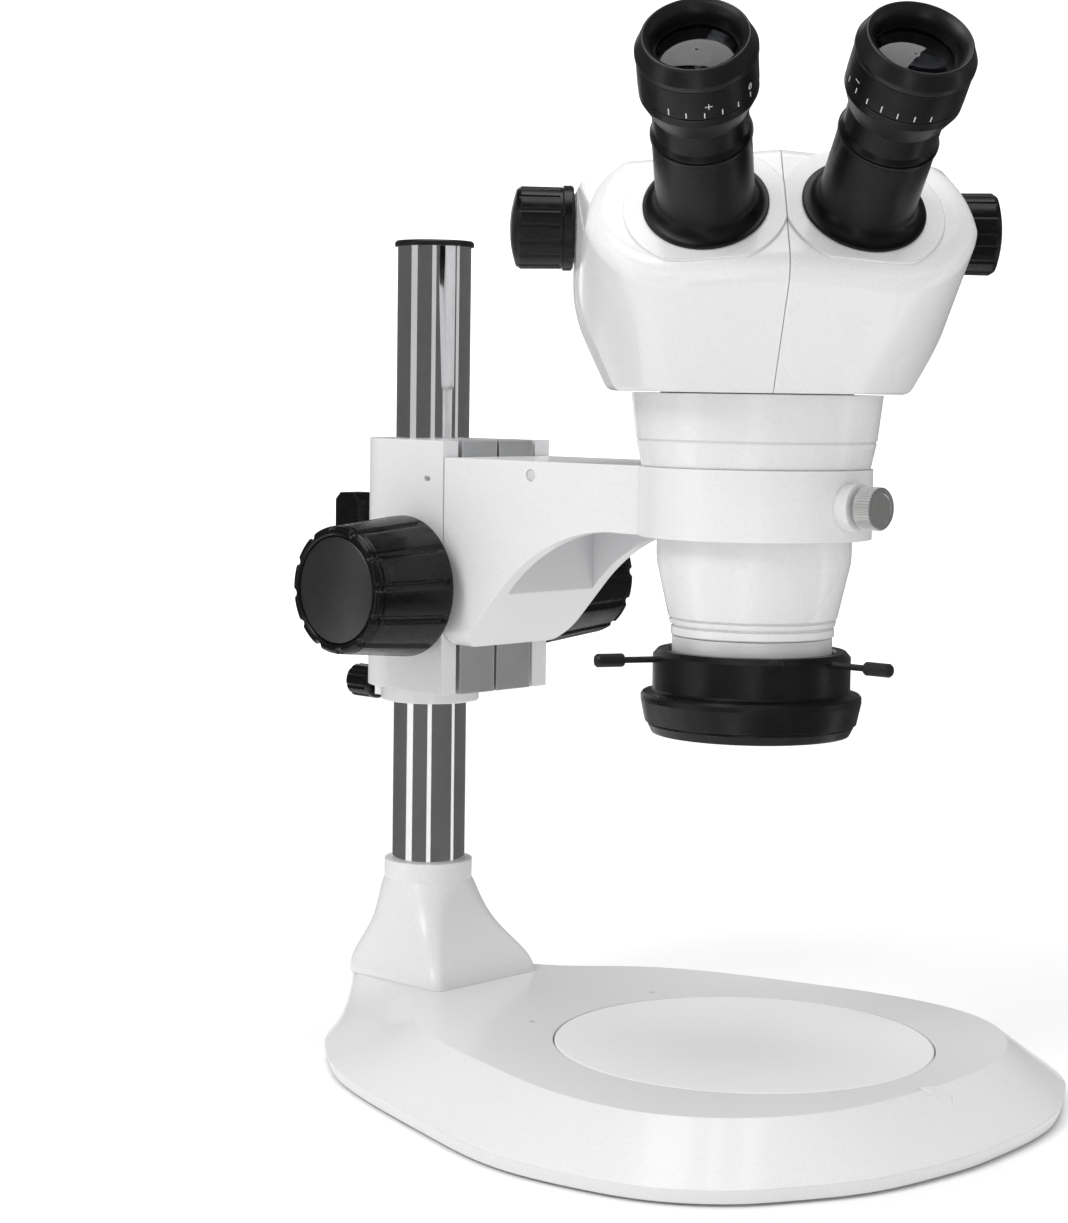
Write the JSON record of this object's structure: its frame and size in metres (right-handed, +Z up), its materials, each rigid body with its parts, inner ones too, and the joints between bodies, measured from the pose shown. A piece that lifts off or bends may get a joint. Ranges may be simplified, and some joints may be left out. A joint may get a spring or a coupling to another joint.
{
  "type": "stereo microscope",
  "caption": "Binocular zoom stereo microscope on a post stand with a rack focusing arm, a swivelling head, inclined eye tubes and a ring light round the lens.",
  "frame": {"origin": "on the optical axis of the lens, at the level of the table the rubber feet stand on", "axes": "+Z up along the post and the optical axis, +Y from the optical axis towards the post, +X to the right seen from the front of the base"},
  "size_m": [0.2743, 0.3742, 0.4134],
  "materials": {
    "stand_paint": "semi-gloss fine textured white enamel",
    "head_paint": "gloss white enamel with faint orange peel",
    "barrel_paint": "gloss white enamel",
    "focus_paint": "semi-gloss white enamel",
    "paint_plug": "semi-gloss light grey",
    "plate_steel": "satin dark grey",
    "stage_white": "smooth white",
    "feet_rubber": "matt",
    "screw_steel": "turned steel",
    "post_chrome": "polished",
    "black_plastic": "satin",
    "knob_black": "moulded, semi-gloss",
    "knob_cap": "fine satin",
    "bearing_brass": "turned",
    "shaft_steel": "ground",
    "rail_aluminium": "milled, bead-blasted grey",
    "thumbscrew_steel": "turned, fine knurl",
    "inner_black": "matt black anodised",
    "frame_aluminium": "die cast",
    "lens_glass": "coated, polished",
    "eye_glass": "coated, polished",
    "tube_black": "satin black anodised",
    "scale_black": "satin black anodised, white engraved scale",
    "cup_rubber": "satin rubber",
    "lens_ring_silver": "turned silver",
    "lamp_black": "semi-gloss black anodised",
    "lamp_board": "white solder mask",
    "lamp_led": "clear domed",
    "lamp_window": "clear flat",
    "screw_black": "black oxide"
  },
  "bodies": {
    "stand": {"base": "stand_paint", "bottom_plate": "plate_steel", "rubber_feet": "feet_rubber", "foot": "stand_paint", "foot_screws": "screw_steel", "post": "post_chrome", "post_cap": "black_plastic", "post_bolt": "screw_steel"},
    "stage": {"stage_plate": "stage_white"},
    "collar": {"safety_collar": "focus_paint"},
    "collar_screw": {"collar_knob": "knob_black"},
    "block": {"focus_block": "focus_paint", "shaft_bushes": "bearing_brass"},
    "block_clamp": {"block_clamp_knob": "knob_black"},
    "carriage": {"slide_rails": "rail_aluminium", "focus_rack": "bearing_brass", "rail_screws": "screw_steel", "arm": "focus_paint", "arm_plugs": "paint_plug"},
    "focus_shaft": {"pinion_shaft": "shaft_steel", "focus_knob_left": "knob_black", "focus_knob_right": "knob_black", "focus_knob_caps": "knob_cap"},
    "ring_clamp": {"ring_screw": "thumbscrew_steel"},
    "head": {"barrel": "barrel_paint", "head_shell_left": "head_paint", "head_shell_right": "head_paint", "head_frame": "frame_aluminium", "guide_rods": "shaft_steel", "objective_cell": "inner_black", "objective_lenses": "lens_glass", "aux_lens_ring": "lens_ring_silver", "aux_lens_glass": "lens_glass"},
    "zoom": {"zoom_shaft": "shaft_steel", "zoom_knob_left": "knob_black", "zoom_knob_right": "knob_black"},
    "zoom_lower": {"zoom_carrier_lower": "inner_black", "zoom_lenses_lower": "lens_glass"},
    "zoom_upper": {"zoom_carrier_upper": "inner_black", "zoom_lenses_upper": "lens_glass"},
    "eye_left": {"eye_tube_left": "tube_black", "prism_box_left": "inner_black"},
    "eye_right": {"eye_tube_right": "tube_black", "prism_box_right": "inner_black"},
    "eyepiece_body_left": {"eyepiece_left": "tube_black", "eyecup_left": "cup_rubber", "eye_lenses_left": "eye_glass"},
    "eyepiece_body_right": {"eyepiece_right": "tube_black", "eyecup_right": "cup_rubber", "eye_lenses_right": "eye_glass"},
    "diopter_left": {"diopter_ring_left": "scale_black"},
    "diopter_right": {"diopter_ring_right": "scale_black"},
    "ring_light": {"light_housing": "lamp_black", "light_board": "lamp_board", "light_leds": "lamp_led", "light_window": "lamp_window", "light_inlet": "black_plastic"},
    "lamp_screw_left": {"light_screw_left": "screw_black"},
    "lamp_screw_right": {"light_screw_right": "screw_black"},
    "lamp_screw_rear": {"light_screw_rear": "screw_black"}
  },
  "joints": [
    {"name": "stage_lift", "type": "slide", "parent": "stand", "child": "stage", "axis": [0, 0, 1], "range_m": [0, 0.02]},
    {"name": "collar_height", "type": "slide", "parent": "stand", "child": "collar", "axis": [0, 0, 1], "range_m": [-0.065, 0.08]},
    {"name": "collar_screw_turn", "type": "hinge", "parent": "collar", "child": "collar_screw", "pos_m": [0, 0.212, 0.1496], "axis": [0, 1, 0], "range_deg": [-720, 720]},
    {"name": "block_swing", "type": "hinge", "parent": "collar", "child": "block", "pos_m": [0, 0.18, 0.2], "axis": [0, 0, 1], "range_deg": [-90, 90]},
    {"name": "block_clamp_turn", "type": "hinge", "parent": "block", "child": "block_clamp", "pos_m": [0, 0.2095, 0.2063], "axis": [0, 1, 0], "range_deg": [-360, 360]},
    {"name": "focus_travel", "type": "slide", "parent": "block", "child": "carriage", "axis": [0, 0, 1], "range_m": [-0.025, 0.025]},
    {"name": "focus_knob_turn", "type": "hinge", "parent": "block", "child": "focus_shaft", "pos_m": [0, 0.1565, 0.1983], "axis": [1, 0, 0], "range_deg": [-240, 240]},
    {"name": "ring_clamp_turn", "type": "hinge", "parent": "carriage", "child": "ring_clamp", "pos_m": [0, -0.0525, 0.239], "axis": [0, -1, 0], "range_deg": [-720, 720]},
    {"name": "head_turn", "type": "hinge", "parent": "carriage", "child": "head", "pos_m": [0, 0, 0.239], "axis": [0, 0, 1], "continuous": true},
    {"name": "zoom_turn", "type": "hinge", "parent": "head", "child": "zoom", "pos_m": [0.01426, 0.01402, 0.345], "axis": [0.7009, -0.7133, 0], "range_deg": [-120, 120]},
    {"name": "zoom_lower_travel", "type": "slide", "parent": "head", "child": "zoom_lower", "axis": [0, 0, 1], "range_m": [-0.01, 0.01]},
    {"name": "zoom_upper_travel", "type": "slide", "parent": "head", "child": "zoom_upper", "axis": [0, 0, 1], "range_m": [-0.012, 0.012]},
    {"name": "eye_spacing_right", "type": "hinge", "parent": "head", "child": "eye_right", "pos_m": [-0.05023, -0.07391, 0.34224], "axis": [-0.4402, -0.5998, 0.6682], "range_deg": [-20, 25]},
    {"name": "eye_spacing_left", "type": "hinge", "parent": "head", "child": "eye_left", "pos_m": [-0.07477, -0.04893, 0.34224], "axis": [-0.6074, -0.4296, 0.6682], "range_deg": [-25, 20]},
    {"name": "eyepiece_right_out", "type": "slide", "parent": "eye_right", "child": "eyepiece_body_right", "axis": [-0.4402, -0.5998, 0.6682], "range_m": [0, 0.03]},
    {"name": "eyepiece_left_out", "type": "slide", "parent": "eye_left", "child": "eyepiece_body_left", "axis": [-0.6074, -0.4296, 0.6682], "range_m": [0, 0.03]},
    {"name": "diopter_right_turn", "type": "hinge", "parent": "eyepiece_body_right", "child": "diopter_right", "pos_m": [-0.06596, -0.11496, 0.39081], "axis": [-0.4402, -0.5998, 0.6682], "range_deg": [-90, 90]},
    {"name": "diopter_left_turn", "type": "hinge", "parent": "eyepiece_body_left", "child": "diopter_left", "pos_m": [-0.1161, -0.06395, 0.39081], "axis": [-0.6074, -0.4296, 0.6682], "range_deg": [-90, 90]},
    {"name": "ring_light_turn", "type": "hinge", "parent": "head", "child": "ring_light", "pos_m": [0, 0, 0.165], "axis": [0, 0, 1], "range_deg": [-170, 170]},
    {"name": "lamp_screw_left_turn", "type": "hinge", "parent": "ring_light", "child": "lamp_screw_left", "pos_m": [-0.04768, 0.02535, 0.1784], "axis": [-0.8829, 0.4695, 0], "range_deg": [-720, 720]},
    {"name": "lamp_screw_right_turn", "type": "hinge", "parent": "ring_light", "child": "lamp_screw_right", "pos_m": [0.00188, -0.05397, 0.1784], "axis": [0.0349, -0.9994, 0], "range_deg": [-720, 720]},
    {"name": "lamp_screw_rear_turn", "type": "hinge", "parent": "ring_light", "child": "lamp_screw_rear", "pos_m": [0.0458, 0.02862, 0.1784], "axis": [0.848, 0.5299, 0], "range_deg": [-720, 720]}
  ],
  "couplings": [
    {"joint": "focus_knob_turn", "follows": "focus_travel", "rad_per_m": -166.67},
    {"joint": "zoom_lower_travel", "follows": "zoom_turn", "m_per_rad": -0.004727},
    {"joint": "zoom_upper_travel", "follows": "zoom_turn", "m_per_rad": 0.005682},
    {"joint": "eye_spacing_left", "follows": "eye_spacing_right", "ratio": -1}
  ]
}
